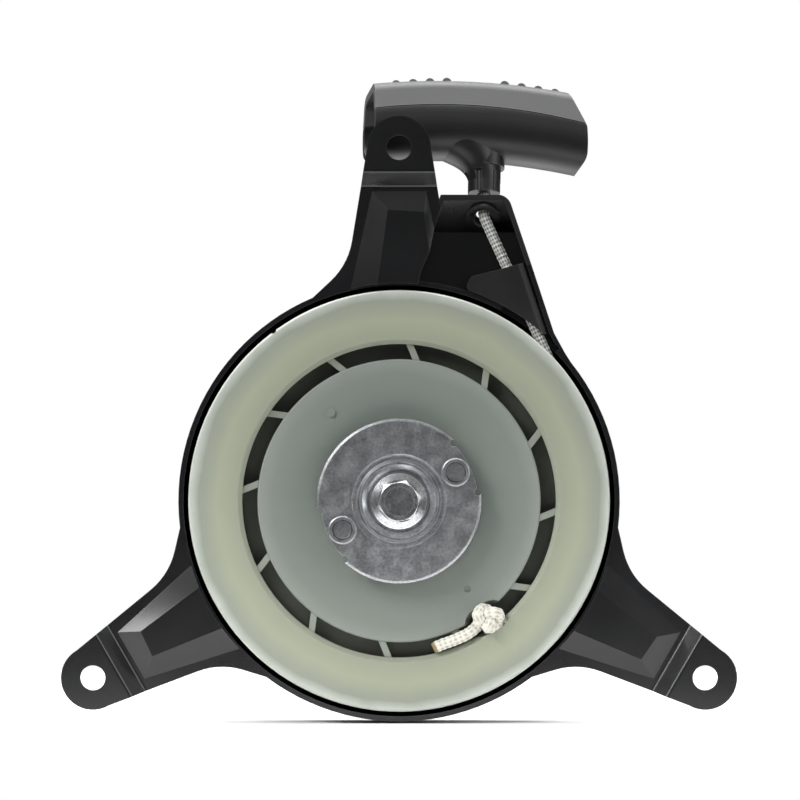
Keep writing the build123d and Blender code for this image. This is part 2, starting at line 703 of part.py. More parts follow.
def grip_body(shell, room):
    """Lower part of the grip with the stem and the washer's pad."""
    pad = Pos(0, 0, WASHER_Z - 2.5) * Cylinder(6.4, 5.0)
    over_pad = Pos(0, 0, WASHER_Z + 3.0) * Cylinder(6.4, 6.0)
    shape = shell + (stem() - room) + pad - over_pad
    return shape - above_parting() - Cylinder(STEM_BORE_R, 60)


def grip_cap(shell, room):
    """Upper shell of the grip with finger ribs on both sides of a smooth middle."""
    shape = shell & above_parting(0.28)
    top_r = GRIP_BOW_R + GRIP_H / 2
    for start, direction in ((-13.8, -1), (4.8, 1)):
        for index in range(FINGER_RIB_COUNT):
            x = start + direction * FINGER_RIB_PITCH * index
            height = GRIP_MID - GRIP_BOW_R + (top_r ** 2 - x ** 2) ** 0.5 - 0.7 - 0.15 * index
            bar = Pos(x, 0, height) * Rot(90, 0, 0) * Cylinder(FINGER_RIB_R, GRIP_D - 8.5)
            shape += bar - room
    return shape


def handle_knot():
    """Stopper knot of the rope inside the grip."""
    return Pos(0, 0, 18.35) * Sphere(3.9) + Pos(1.2, 1.0, 21.4) * Sphere(3.2)


ROOM = bowed(grip_section(GRIP_WALL), 13)
SHELL = (bowed(grip_section(0)) & grip_ends()) - ROOM
FRAME = handle_frame()
WASHER = Pos(0, 0, WASHER_Z + 0.5) * (Cylinder(5.6, 1.0) - Cylinder(STEM_BORE_R, 2))
keep("grip_body", FRAME * grip_body(SHELL, ROOM))
keep("grip_cap", FRAME * grip_cap(SHELL, ROOM))
keep("handle_washer", FRAME * WASHER)
keep("handle_knot", FRAME * handle_knot())


# ---------------------------------------------------------------- write the pieces
os.makedirs("parts", exist_ok=True)
for name, shape in PARTS.items():
    export_step(shape, f"parts/{name}.step")
    print(f"{name}: {len(shape.solids())} solid(s), {shape.volume:.1f} mm3")
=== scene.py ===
"""Recoil starter: finishes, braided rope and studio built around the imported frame."""

import logging
import math
from dataclasses import dataclass
from enum import Enum

import bmesh
import bpy
from mathutils import Matrix, Vector


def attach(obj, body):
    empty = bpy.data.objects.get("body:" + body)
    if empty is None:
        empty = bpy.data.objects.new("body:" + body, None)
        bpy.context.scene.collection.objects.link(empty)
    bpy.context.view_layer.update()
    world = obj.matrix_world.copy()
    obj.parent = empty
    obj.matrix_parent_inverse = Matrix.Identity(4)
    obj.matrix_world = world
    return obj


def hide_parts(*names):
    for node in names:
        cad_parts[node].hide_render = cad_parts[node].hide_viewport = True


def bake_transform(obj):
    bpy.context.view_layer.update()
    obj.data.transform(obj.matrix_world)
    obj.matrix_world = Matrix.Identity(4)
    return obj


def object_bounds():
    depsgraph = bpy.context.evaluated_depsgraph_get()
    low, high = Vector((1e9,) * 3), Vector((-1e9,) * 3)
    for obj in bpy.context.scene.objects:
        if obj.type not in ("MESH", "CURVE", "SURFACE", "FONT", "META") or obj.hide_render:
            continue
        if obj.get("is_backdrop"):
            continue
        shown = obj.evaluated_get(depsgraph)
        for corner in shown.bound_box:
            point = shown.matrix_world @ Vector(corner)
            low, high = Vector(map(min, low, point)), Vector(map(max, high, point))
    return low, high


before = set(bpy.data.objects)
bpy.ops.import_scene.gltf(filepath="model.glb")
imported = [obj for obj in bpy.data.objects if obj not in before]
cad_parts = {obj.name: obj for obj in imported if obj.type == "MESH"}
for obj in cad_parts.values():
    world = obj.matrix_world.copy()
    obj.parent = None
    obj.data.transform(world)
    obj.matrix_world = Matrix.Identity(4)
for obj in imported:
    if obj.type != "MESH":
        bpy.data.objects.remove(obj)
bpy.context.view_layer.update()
LOG = logging.getLogger("recoil_starter")

MM = 0.001
Point = tuple[float, float, float]


# ---------------------------------------------------------------- node helpers
def linear(hex_colour: str, alpha: float = 1.0) -> tuple[float, float, float, float]:
    """Turn an sRGB hex colour into linear RGBA.

    Args:
        hex_colour: six hex digits with a leading #.
        alpha: opacity to append.

    Returns:
        The colour as the shader nodes want it.
    """
    channels = [int(hex_colour[i:i + 2], 16) / 255 for i in (1, 3, 5)]
    red, green, blue = [c / 12.92 if c <= 0.04045 else ((c + 0.055) / 1.055) ** 2.4 for c in channels]
    return (red, green, blue, alpha)


def add_node(tree: bpy.types.NodeTree, kind: str, settings: dict | None = None, links: dict | None = None,
             stops: list[tuple[float, str]] | None = None) -> bpy.types.Node:
    """Add one node with its settings, its input links and its colour stops.

    Args:
        tree: node tree that receives the node.
        kind: Blender's node type name.
        settings: attribute names, or input names or numbers, with their values.
        links: input names or numbers with the output socket that feeds each.
        stops: positions from 0 to 1 with hex colours, for a node that has a ramp.

    Returns:
        The new node.
    """
    node = tree.nodes.new(kind)
    for key, value in (settings or {}).items():
        if isinstance(key, str) and hasattr(node, key):
            setattr(node, key, value)
        else:
            node.inputs[key].default_value = value
    for key, socket in (links or {}).items():
        tree.links.new(socket, node.inputs[key])
    for index, (position, colour) in enumerate(stops or []):
        elements = node.color_ramp.elements
        element = elements[index] if index < len(elements) else elements.new(position)
        element.position = position
        element.color = linear(colour)
    return node


def cells(size_mm: float, detail: float = 4.0, roughness: float = 0.55) -> dict[str, float]:
    """Settings of a pattern whose cells have a real size.

    Args:
        size_mm: distance across one cell, in millimetres.
        detail: number of finer layers.
        roughness: strength of the finer layers.

    Returns:
        The settings for add_node.
    """
    return {"Scale": 1.0 / (size_mm * MM), "Detail": detail, "Roughness": roughness}


class FlowAxis(Enum):
    """Where a rope's length coordinate comes from."""

    UNWRAP = "unwrap"
    STEM = "stem"


@dataclass(frozen=True)
class Finish:
    """A surface finish: typical values of its material, matched to the piece.

    Attributes:
        name: what the material really is.
        colour: its main colour in sRGB hex.
        metallic: 1 for bare metal, 0 for anything else.
        roughness: middle of its roughness.
        ior: index of refraction, which metals leave alone.
        coat: weight of a clear layer on top.
        coat_roughness: roughness of that layer.
    """

    name: str
    colour: str
    metallic: float = 0.0
    roughness: float = 0.5
    ior: float = 1.5
    coat: float = 0.0
    coat_roughness: float = 0.1

    def shader(self) -> tuple[bpy.types.Material, bpy.types.NodeTree, bpy.types.Node]:
        """Start the material.

        Returns:
            The material, its node tree and its Principled shader.
        """
        material = bpy.data.materials.new(self.name)
        material.use_nodes = True
        tree = material.node_tree
        shader = tree.nodes["Principled BSDF"]
        shader.inputs["Base Color"].default_value = linear(self.colour)
        shader.inputs["Metallic"].default_value = self.metallic
        shader.inputs["Roughness"].default_value = self.roughness
        shader.inputs["IOR"].default_value = self.ior
        shader.inputs["Coat Weight"].default_value = self.coat
        shader.inputs["Coat Roughness"].default_value = self.coat_roughness
        return material, tree, shader

    def build(self) -> bpy.types.Material:
        """Make the plain, even material."""
        return self.shader()[0]


def edge_mask(tree: bpy.types.NodeTree, radius_mm: float) -> bpy.types.NodeSocket:
    """Mask that is 1 on sharp edges: the bevelled normal against the true one.

    Args:
        tree: node tree that receives it.
        radius_mm: reach of the mask from an edge, in millimetres.

    Returns:
        Factor from 0 on flats to 1 on edges.
    """
    bevel = add_node(tree, "ShaderNodeBevel", {"samples": 4, "Radius": radius_mm * MM})
    true_normal = add_node(tree, "ShaderNodeNewGeometry").outputs["Normal"]
    dot = add_node(tree, "ShaderNodeVectorMath", {"operation": "DOT_PRODUCT"},
                   {0: bevel.outputs["Normal"], 1: true_normal})
    spread = add_node(tree, "ShaderNodeMapRange", {"From Min": 1.0, "From Max": 0.86},
                      {"Value": dot.outputs["Value"]})
    return spread.outputs["Result"]


# ---------------------------------------------------------------- finishes
@dataclass(frozen=True)
class StovedPaint(Finish):
    """Black stoving paint on pressed steel: deep colour, soft gloss, faint orange peel.

    Attributes:
        dust: colour of its duller clouds.
        pale_edge: colour of its edges, where paint wear and a painted highlight along creases and bends mix.
        peel_mm: depth of the orange peel, in millimetres.
    """

    dust: str = "#101012"
    pale_edge: str = "#4a4a4b"
    peel_mm: float = 0.02

    def build(self) -> bpy.types.Material:
        """Paint with slow shade changes, peel at 1.2 mm and greyer edges, partly wear and partly a painted
        highlight.

        Returns:
            The finished material.
        """
        material, tree, shader = self.shader()
        place = add_node(tree, "ShaderNodeTexCoord").outputs["Object"]
        cloud = add_node(tree, "ShaderNodeTexNoise", cells(22.0, 3.0), {"Vector": place}).outputs["Fac"]
        base = add_node(tree, "ShaderNodeValToRGB", None, {"Fac": cloud},
                        [(0.35, self.colour), (0.72, self.dust)])
        # Painted highlight: edges and creases lighten towards the grey, on top of some real wear.
        edge_amount = add_node(tree, "ShaderNodeMath", {"operation": "MULTIPLY", 1: 0.45},
                        {0: edge_mask(tree, 0.45)})
        mixed = add_node(tree, "ShaderNodeMix", {"data_type": "RGBA", 7: linear(self.pale_edge)},
                         {0: edge_amount.outputs[0], 6: base.outputs["Color"]})
        tree.links.new(mixed.outputs[2], shader.inputs["Base Color"])
        gloss = add_node(tree, "ShaderNodeMapRange",
                         {"To Min": self.roughness - 0.05, "To Max": self.roughness + 0.09}, {"Value": cloud})
        tree.links.new(gloss.outputs["Result"], shader.inputs["Roughness"])
        peel = add_node(tree, "ShaderNodeTexNoise", cells(1.2, 2.0), {"Vector": place}).outputs["Fac"]
        raised = add_node(tree, "ShaderNodeBump", {"Distance": self.peel_mm * MM, "Strength": 0.6},
                          {"Height": peel})
        tree.links.new(raised.outputs["Normal"], shader.inputs["Normal"])
        return material


@dataclass(frozen=True)
class NaturalNylon(Finish):
    """Unfilled moulded nylon: milky, lets light a few millimetres in, waxy sheen.

    Attributes:
        rim_mm: radius of the reel, in millimetres.
        shade_from_mm: depth behind the tabs where the painted shade starts, in millimetres.
        shade_to_mm: depth where the painted shade is darkest, at the floor of the slots, in millimetres.
        depth_shade: colour of the painted shade on those floors.
        tints_and_painted_rim: share of the rim's radius with the colour there, from the hub out to the lip;
            the darker stop at the rim's bend is painted shade and the bright last stop is a painted highlight
            on the lip.
        skin_mm: depth of the moulded skin's texture, in millimetres.
    """

    rim_mm: float = 66.0
    shade_from_mm: float = 5.8
    shade_to_mm: float = 8.0
    depth_shade: str = "#3c3f35"
    tints_and_painted_rim: tuple[tuple[float, str], ...] = (
        (0.38, "#757c75"), (0.60, "#7c837c"), (0.68, "#8b918a"), (0.775, "#949987"),
        (0.865, "#9da28d"), (0.95, "#90968a"), (0.99, "#b9beb6"),
    )
    skin_mm: float = 0.015

    def build(self) -> bpy.types.Material:
        """Nylon tinted ring by ring, with painted shade that darkens the stock deeper than the tabs and the
        slot floors.

        Returns:
            The finished material.
        """
        material, tree, shader = self.shader()
        place = add_node(tree, "ShaderNodeTexCoord").outputs["Object"]
        flat = add_node(tree, "ShaderNodeVectorMath", {"operation": "MULTIPLY", 1: (1.0, 0.0, 1.0)},
                        {0: place})
        radius = add_node(tree, "ShaderNodeVectorMath", {"operation": "LENGTH"}, {0: flat.outputs["Vector"]})
        share = add_node(tree, "ShaderNodeMath", {"operation": "DIVIDE", 1: self.rim_mm * MM},
                         {0: radius.outputs["Value"]})
        cloud = add_node(tree, "ShaderNodeTexNoise", cells(16.0, 3.0), {"Vector": place}).outputs["Fac"]
        drift = add_node(tree, "ShaderNodeMath", {"operation": "MULTIPLY_ADD", 1: 0.05, 2: -0.025},
                         {0: cloud})
        shifted = add_node(tree, "ShaderNodeMath", {"operation": "ADD"},
                           {0: share.outputs[0], 1: drift.outputs[0]})
        # Colour by radius: the darker stop at the rim's bend is painted shade, the bright last stop a painted
        # highlight on the lip.
        ring_tint_and_painted_rim = add_node(tree, "ShaderNodeValToRGB", None, {"Fac": shifted.outputs[0]}, list(self.tints_and_painted_rim))
        split = add_node(tree, "ShaderNodeSeparateXYZ", links={0: place})
        # Painted shade: stock deeper than the tabs darkens towards the slot floors' colour.
        depth_shade = add_node(tree, "ShaderNodeMapRange",
                        {"From Min": self.shade_from_mm * MM, "From Max": self.shade_to_mm * MM},
                        {"Value": split.outputs["Y"]})
        stock = add_node(tree, "ShaderNodeMix", {"data_type": "RGBA", 7: linear(self.depth_shade)},
                         {0: depth_shade.outputs["Result"], 6: ring_tint_and_painted_rim.outputs["Color"]})
        tree.links.new(stock.outputs[2], shader.inputs["Base Color"])
        shader.inputs["Subsurface Weight"].default_value = 0.3
        shader.inputs["Subsurface Radius"].default_value = (1.0, 1.0, 0.75)
        shader.inputs["Subsurface Scale"].default_value = 1.6 * MM
        waxy = add_node(tree, "ShaderNodeTexNoise", cells(7.0), {"Vector": place}).outputs["Fac"]
        gloss = add_node(tree, "ShaderNodeMapRange",
                         {"To Min": self.roughness - 0.06, "To Max": self.roughness + 0.08}, {"Value": waxy})
        tree.links.new(gloss.outputs["Result"], shader.inputs["Roughness"])
        skin = add_node(tree, "ShaderNodeTexNoise", cells(0.9, 3.0), {"Vector": place}).outputs["Fac"]
        raised = add_node(tree, "ShaderNodeBump", {"Distance": self.skin_mm * MM, "Strength": 0.6},
                          {"Height": skin})
        tree.links.new(raised.outputs["Normal"], shader.inputs["Normal"])
        return material


@dataclass(frozen=True)
class PlatedSteel(Finish):
    """Zinc plate on pressed or turned steel: cool grey, finely mottled, with a painted highlight at its
    edges.

    Attributes:
        mottle_mm: distance across one mottle, in millimetres.
        dark: colour of the darker mottles.
        edge: colour of the painted highlight on its edges.
        scuff_mm: depth of the fine scuffs, in millimetres.
    """

    mottle_mm: float = 0.9
    dark: str = "#8d9093"
    edge: str = "#f4f5f5"
    scuff_mm: float = 0.012

    def build(self) -> bpy.types.Material:
        """Plating with mottled shade, a painted highlight on its edges, patches of duller grain and fine
        scuffs.

        Returns:
            The finished material.
        """
        material, tree, shader = self.shader()
        place = add_node(tree, "ShaderNodeTexCoord").outputs["Object"]
        # Real plating has grains far below 0.1 mm: its mottle is drawn coarser, so that it shows.
        mottle = add_node(tree, "ShaderNodeTexNoise", cells(self.mottle_mm, 5.0, 0.6), {"Vector": place})
        shade = add_node(tree, "ShaderNodeValToRGB", None, {"Fac": mottle.outputs["Fac"]},
                         [(0.3, self.dark), (0.7, self.colour)])
        # Painted highlight: the edges lighten to near white, standing in for the shine of bent and turned
        # edges.
        pale_edge = edge_mask(tree, 0.4)
        edge_highlighted = add_node(tree, "ShaderNodeMix", {"data_type": "RGBA", 7: linear(self.edge)},
                            {0: pale_edge, 6: shade.outputs["Color"]})
        tree.links.new(edge_highlighted.outputs[2], shader.inputs["Base Color"])
        patches = add_node(tree, "ShaderNodeTexNoise", cells(self.mottle_mm * 5, 4.0), {"Vector": place})
        gloss = add_node(tree, "ShaderNodeMapRange",
                         {"From Min": 0.3, "From Max": 0.7, "To Min": self.roughness - 0.06,
                          "To Max": self.roughness + 0.1}, {"Value": patches.outputs["Fac"]})
        tree.links.new(gloss.outputs["Result"], shader.inputs["Roughness"])
        scuffs = add_node(tree, "ShaderNodeTexNoise", cells(0.45, 3.0), {"Vector": place}).outputs["Fac"]
        raised = add_node(tree, "ShaderNodeBump", {"Distance": self.scuff_mm * MM, "Strength": 0.7},
                          {"Height": scuffs})
        tree.links.new(raised.outputs["Normal"], shader.inputs["Normal"])
        return material


@dataclass(frozen=True)
class MouldedPlastic(Finish):
    """Dark moulded plastic from a spark-eroded tool: fine even grain, dull sheen.

    Attributes:
        grain_mm: distance across one grain, in millimetres.
        depth_mm: depth of the grain, in millimetres.
        pale_edge: colour of its lighter edges.
    """

    grain_mm: float = 0.5
    depth_mm: float = 0.03
    pale_edge: str = "#8c8c8d"

    def build(self) -> bpy.types.Material:
        """Plastic with moulded grain, handled patches and lighter edges.

        Returns:
            The finished material.
        """
        material, tree, shader = self.shader()
        place = add_node(tree, "ShaderNodeTexCoord").outputs["Object"]
        edge_amount = add_node(tree, "ShaderNodeMath", {"operation": "MULTIPLY", 1: 0.25},
                        {0: edge_mask(tree, 0.5)})
        mixed = add_node(tree, "ShaderNodeMix",
                         {"data_type": "RGBA", 6: linear(self.colour), 7: linear(self.pale_edge)},
                         {0: edge_amount.outputs[0]})
        tree.links.new(mixed.outputs[2], shader.inputs["Base Color"])
        handled = add_node(tree, "ShaderNodeTexNoise", cells(12.0, 3.0), {"Vector": place}).outputs["Fac"]
        gloss = add_node(tree, "ShaderNodeMapRange",
                         {"To Min": self.roughness - 0.07, "To Max": self.roughness + 0.08},
                         {"Value": handled})
        tree.links.new(gloss.outputs["Result"], shader.inputs["Roughness"])
        # A real tool leaves a grain of about 0.15 mm: it is drawn coarser, so that it shows.
        sparks = add_node(tree, "ShaderNodeTexNoise", cells(self.grain_mm, 2.0), {"Vector": place})
        grain = sparks.outputs["Fac"]
        raised = add_node(tree, "ShaderNodeBump", {"Distance": self.depth_mm * MM, "Strength": 0.8},
                          {"Height": grain})
        tree.links.new(raised.outputs["Normal"], shader.inputs["Normal"])
        return material


@dataclass(frozen=True)
class BraidedCord(Finish):
    """Braided synthetic rope: soft sheen, off-white strands with a darker tracer.

    Attributes:
        tracer: colour of the darker strands.
        shadow: colour between the strands.
        pick_mm: length of one crossing, in millimetres.
        strands: strands in the whole braid.
        depth_mm: depth between the strands, in millimetres.
        flow: where the length along the rope comes from.
        axis: unit vector along a rope whose length comes from its place.
    """

    tracer: str = "#9d9e9c"
    shadow: str = "#6a6b69"
    pick_mm: float = 1.3
    strands: int = 12
    depth_mm: float = 0.16
    flow: FlowAxis = FlowAxis.UNWRAP
    axis: Point = (0.0, 0.0, 1.0)

    def build(self) -> bpy.types.Material:
        """Braid drawn from the way round (U) and the length (V) of the rope.

        Returns:
            The finished material.
        """
        material, tree, shader = self.shader()
        unwrap = add_node(tree, "ShaderNodeUVMap").outputs["UV"]
        split = add_node(tree, "ShaderNodeSeparateXYZ", links={0: unwrap})
        length = split.outputs["Y"]
        if self.flow is FlowAxis.STEM:
            where = add_node(tree, "ShaderNodeNewGeometry").outputs["Position"]
            along = add_node(tree, "ShaderNodeVectorMath", {"operation": "DOT_PRODUCT", 1: self.axis},
                             {0: where})
            length = along.outputs["Value"]
        turns = add_node(tree, "ShaderNodeMath", {"operation": "MULTIPLY", 1: math.tau * self.strands / 2},
                         {0: split.outputs["X"]})
        pace = math.tau / (self.pick_mm * 2 * MM)
        picks = add_node(tree, "ShaderNodeMath", {"operation": "MULTIPLY", 1: pace}, {0: length})
        waves = []
        for way in ("ADD", "SUBTRACT"):
            lead = add_node(tree, "ShaderNodeMath", {"operation": way},
                            {0: turns.outputs[0], 1: picks.outputs[0]})
            wave = add_node(tree, "ShaderNodeMath", {"operation": "SINE"}, {0: lead.outputs[0]})
            waves.append(wave.outputs[0])
        weave = add_node(tree, "ShaderNodeMath", {"operation": "MULTIPLY"}, {0: waves[0], 1: waves[1]})
        height = add_node(tree, "ShaderNodeMapRange", {"From Min": -1.0}, {"Value": weave.outputs[0]})
        shade = add_node(tree, "ShaderNodeValToRGB", None, {"Fac": height.outputs["Result"]},
                         [(0.08, self.shadow), (0.38, self.tracer), (0.62, self.colour)])
        place = add_node(tree, "ShaderNodeTexCoord").outputs["Object"]
        # Real filaments are about 0.02 mm thick: they are drawn as tufts of 0.35 mm, so that they show.
        tufts = add_node(tree, "ShaderNodeTexNoise", cells(0.35, 3.0), {"Vector": place}).outputs["Fac"]
        fibre = add_node(tree, "ShaderNodeValToRGB", None, {"Fac": tufts},
                         [(0.3, "#c9c9c9"), (0.7, "#ffffff")])
        mixed = add_node(tree, "ShaderNodeMix", {"data_type": "RGBA", "blend_type": "MULTIPLY", 0: 0.7},
                         {6: shade.outputs["Color"], 7: fibre.outputs["Color"]})
        tree.links.new(mixed.outputs[2], shader.inputs["Base Color"])
        shader.inputs["Sheen Weight"].default_value = 0.25
        shader.inputs["Sheen Roughness"].default_value = 0.4
        raised = add_node(tree, "ShaderNodeBump", {"Distance": self.depth_mm * MM, "Strength": 0.7},
                          {"Height": height.outputs["Result"]})
        tree.links.new(raised.outputs["Normal"], shader.inputs["Normal"])
        return material


# Near-black and calm on flats, with soft highlights along every bend, partly painted into the colour of its
# edges.
CASE_PAINT = StovedPaint("stoved_black_paint", "#08080a", roughness=0.27, coat=0.2, coat_roughness=0.14)
# A shade greyer and duller than the case, so that the added plate reads as its own piece.
GUIDE_PAINT = StovedPaint("satin_grey_black_paint", "#0e0e0f", roughness=0.42, dust="#1b1b1d")
# Milky grey-green, lighter on the annulus than on the hub, with a painted highlight on the rim's lip and
# painted shade in the slots.
NYLON = NaturalNylon("natural_nylon_66", "#b3bda2", roughness=0.48, ior=1.53)
# Mid-grey, finely mottled face with a turned rim, brightened by a painted highlight.
ZINC_DISC = PlatedSteel("zinc_plated_pressing", "#b6b8ba", metallic=1.0, roughness=0.38, dark="#8b8d90")
# Cleaner and brighter than the disc, so that the hexagon's edges catch the light.
ZINC_BOLT = PlatedSteel("zinc_plated_bolt", "#cfd1d1", metallic=1.0, roughness=0.25, dark="#a3a5a7")
# Plain grey metal with turning marks too fine to see.
TURNED_STEEL = PlatedSteel("turned_steel", "#a9aaab", metallic=1.0, roughness=0.36, dark="#85868a")
# Dark blue-grey strip and wire.
SPRING_STEEL = PlatedSteel("blued_spring_steel", "#6e747c", metallic=1.0, roughness=0.36, dark="#4b5058")
# Warm brown metal, dull with oil.
BRONZE = PlatedSteel("oiled_sintered_bronze", "#a98250", metallic=1.0, roughness=0.45, dark="#7c5c34")
# Black half of the grip, with a soft sheen on its round side.
GRIP_LOWER = MouldedPlastic("black_moulded_polypropylene", "#151516", roughness=0.42, ior=1.49)
# Dark grey shell, clearly lighter and coarser than the black half.
GRIP_UPPER = MouldedPlastic("grey_moulded_polypropylene", "#4f4f50", roughness=0.52, ior=1.49, grain_mm=0.7)
# Grey-white rope with a fine speckle of darker strands.
ROPE_GREY = BraidedCord("speckled_braided_polyester", "#e2e2dd", roughness=0.7, ior=1.5)
# Cleaner off-white where the rope was kept inside the reel.
ROPE_KNOT = BraidedCord("braided_polyester_knot", "#efece0", roughness=0.72, ior=1.5, tracer="#e2dfd3",
                        shadow="#c2bdae", pick_mm=1.7, strands=8)

# Pale and without shine, so that the floor only lifts the part's underside.
PAPER = Finish("matt_white_paper", "#f7f7f6", roughness=0.9)


# ---------------------------------------------------------------- shared geometry
def polar(radius: float, angle: float, depth: float) -> Vector:
    """Point about the reel's axis, in metres.

    Args:
        radius: distance from the axis, in millimetres.
        angle: degrees anticlockwise from +X, seen from the engine.
        depth: Y, in millimetres.

    Returns:
        The point in the part's frame.
    """
    turn = math.radians(angle)
    return Vector((radius * math.cos(turn), depth, radius * math.sin(turn))) * MM


def smooth_line(corners: list[Vector], per_span: int = 24) -> list[Vector]:
    """Points on the smooth spline that the corners steer.

    Args:
        corners: control points, in metres.
        per_span: points per span of the spline.

    Returns:
        The spline's points in order.
    """
    curve = bpy.data.curves.new("route", "CURVE")
    curve.dimensions = "3D"
    spline = curve.splines.new("NURBS")
    spline.points.add(len(corners) - 1)
    for point, corner in zip(spline.points, corners):
        point.co = (*corner, 1.0)
    spline.order_u = 3
    spline.use_endpoint_u = True
    spline.resolution_u = per_span
    holder = bpy.data.objects.new("route", curve)
    mesh = bpy.data.meshes.new_from_object(holder)
    line = [vertex.co.copy() for vertex in mesh.vertices]
    bpy.data.objects.remove(holder)
    bpy.data.curves.remove(curve)
    bpy.data.meshes.remove(mesh)
    return line


def even_line(line: list[Vector], step: float) -> list[Vector]:
    """Resample a line at an even step.

    Args:
        line: points in order, in metres.
        step: wanted distance between points, in metres.

    Returns:
        The evenly spaced points, with both ends kept.
    """
    lengths = [0.0]
    for before, after in zip(line, line[1:]):
        lengths.append(lengths[-1] + (after - before).length)
    count = max(2, round(lengths[-1] / step))
    result = []
    place = 0
    for index in range(count + 1):
        target = lengths[-1] * index / count
        while place < len(line) - 2 and lengths[place + 1] < target:
            place += 1
        span = max(lengths[place + 1] - lengths[place], 1e-9)
        result.append(line[place].lerp(line[place + 1], (target - lengths[place]) / span))
    return result


@dataclass
class BraidedTube:
    """A stretch of braided rope as a mesh: strands stand out of its surface.

    Attributes:
        name: name of the piece.
        line: centre line, in metres.
        radius: mean radius, in millimetres.
        strands: strands that run each way round.
        pick: length of one crossing, in millimetres.
        relief: height of the strands, in millimetres.
        step: distance between rings, in millimetres.
        around: points in one ring.
        taper: length over which each cut end narrows, in millimetres.
        tip: share of the radius that is left at a cut end.
        fused_end: length of the melted end, in millimetres.
    """

    name: str
    line: list[Vector]
    radius: float = 1.72
    strands: int = 8
    pick: float = 1.9
    relief: float = 0.13
    step: float = 0.24
    around: int = 48
    taper: float = 0.9
    tip: float = 0.65
    fused_end: float = 0.0

    def offsets(self, turn: float, length: float) -> float:
        """Height of the braid at a place on the rope.

        Args:
            turn: way round the rope, in radians.
            length: way along the rope, in millimetres.

        Returns:
            The height over the mean radius, in millimetres.
        """
        wave = math.tau * length / (2 * self.pick)
        around = turn * self.strands / 2
        return self.relief * math.sin(around + wave) * math.sin(around - wave)

    def rings(self, line: list[Vector]) -> tuple[list[Vector], list[float]]:
        """Lay rings of points along the line.

        Args:
            line: evenly spaced centre line, in metres.

        Returns:
            The points ring by ring, and the way along the rope to each ring, in millimetres.
        """
        tangents = [(after - before).normalized() for before, after in zip(line, line[1:])]
        tangents.append(tangents[-1])
        side = tangents[0].orthogonal().normalized()
        vertices: list[Vector] = []
        lengths: list[float] = []
        total = 0.0
        for index, (centre, tangent) in enumerate(zip(line, tangents)):
            side = (side - tangent * side.dot(tangent)).normalized()
            other = tangent.cross(side)
            if index:
                total += (centre - line[index - 1]).length / MM
            lengths.append(total)
            ends = min(index, len(line) - 1 - index) * self.step
            # A cut end starts 2 % into its rounding, so that its cap isn't quite flat.
            rounded = math.sqrt(max(0.0, 1 - (1 - min(1.0, ends / self.taper + 0.02)) ** 2))
            pinch = rounded * (1 - self.tip) + self.tip
            for spot in range(self.around):
                turn = math.tau * spot / self.around
                radius = (self.radius * pinch + self.offsets(turn, total)) * MM
                vertices.append(centre + (side * math.cos(turn) + other * math.sin(turn)) * radius)
        return vertices, lengths

    def skin(self, lengths: list[float]) -> tuple[list[tuple[int, ...]], list[tuple[float, float]]]:
        """Close the rings with faces and unwrap them.

        Args:
            lengths: way along the rope to each ring, in millimetres.

        Returns:
            The faces with a cap on each end, and for each corner its share of the way round and its
            metres along.
        """
        faces: list[tuple[int, ...]] = []
        uvs: list[tuple[float, float]] = []
        for ring in range(len(lengths) - 1):
            for spot in range(self.around):
                after = (spot + 1) % self.around
                base, top = ring * self.around, (ring + 1) * self.around
                faces.append((base + spot, base + after, top + after, top + spot))
                low, high = lengths[ring] * MM, lengths[ring + 1] * MM
                left, right = spot / self.around, (spot + 1) / self.around
                uvs += [(left, low), (right, low), (right, high), (left, high)]
        last = (len(lengths) - 1) * self.around
        faces.append(tuple(reversed(range(self.around))))
        faces.append(tuple(range(last, last + self.around)))
        uvs += [(0.0, 0.0)] * self.around + [(0.0, lengths[-1] * MM)] * self.around
        return faces, uvs

    def build(self, finish: bpy.types.Material, fused: bpy.types.Material | None = None) -> bpy.types.Object:
        """Make the mesh and dress it.

        Args:
            finish: the rope's material.
            fused: material of the melted end, where the rope has one.

        Returns:
            The rope's object, linked to the scene.
        """
        line = even_line(self.line, self.step * MM)
        vertices, lengths = self.rings(line)
        faces, uvs = self.skin(lengths)
        mesh = bpy.data.meshes.new(self.name)
        mesh.from_pydata(vertices, [], faces)
        layer = mesh.uv_layers.new(name="UVMap")
        for loop, uv in zip(layer.data, uvs):
            loop.uv = uv
        mesh.materials.append(finish)
        if fused:
            mesh.materials.append(fused)
            start = (len(line) - 1 - int(self.fused_end / self.step)) * self.around
            for face in mesh.polygons:
                face.material_index = 1 if face.index >= start else 0
        mesh.shade_smooth()
        piece = bpy.data.objects.new(self.name, mesh)
        bpy.context.scene.collection.objects.link(piece)
        return piece


def overhand(centre: Vector, along: Vector, outward: Vector, toward: Vector, size: Point,
             gap: float = 0.42, count: int = 26) -> list[Vector]:
    """Turns of an overhand knot, pulled snug.

    Args:
        centre: middle of the knot, in metres.
        along: unit vector towards the side that the loose ends leave from.
        outward: unit vector across the knot.
        toward: unit vector out of the knot's flat side.
        size: half-size per unit of the knot's curve along each vector, in millimetres.
        gap: opening between the two ends, in radians.
        count: points on the curve.

    Returns:
        Control points of the knot, from its first end to its last.
    """
    points = []
    # A trefoil's curve, opened between its two ends.
    for index in range(count + 1):
        turn = math.pi / 3 + gap + (math.tau - 2 * gap) * index / count
        across = math.sin(turn) + 2 * math.sin(2 * turn)
        up = math.cos(turn) - 2 * math.cos(2 * turn)
        out = -math.sin(3 * turn)
        step = along * across * size[0] + outward * up * size[1] + toward * out * size[2]
        points.append(centre + step * MM)
    return points


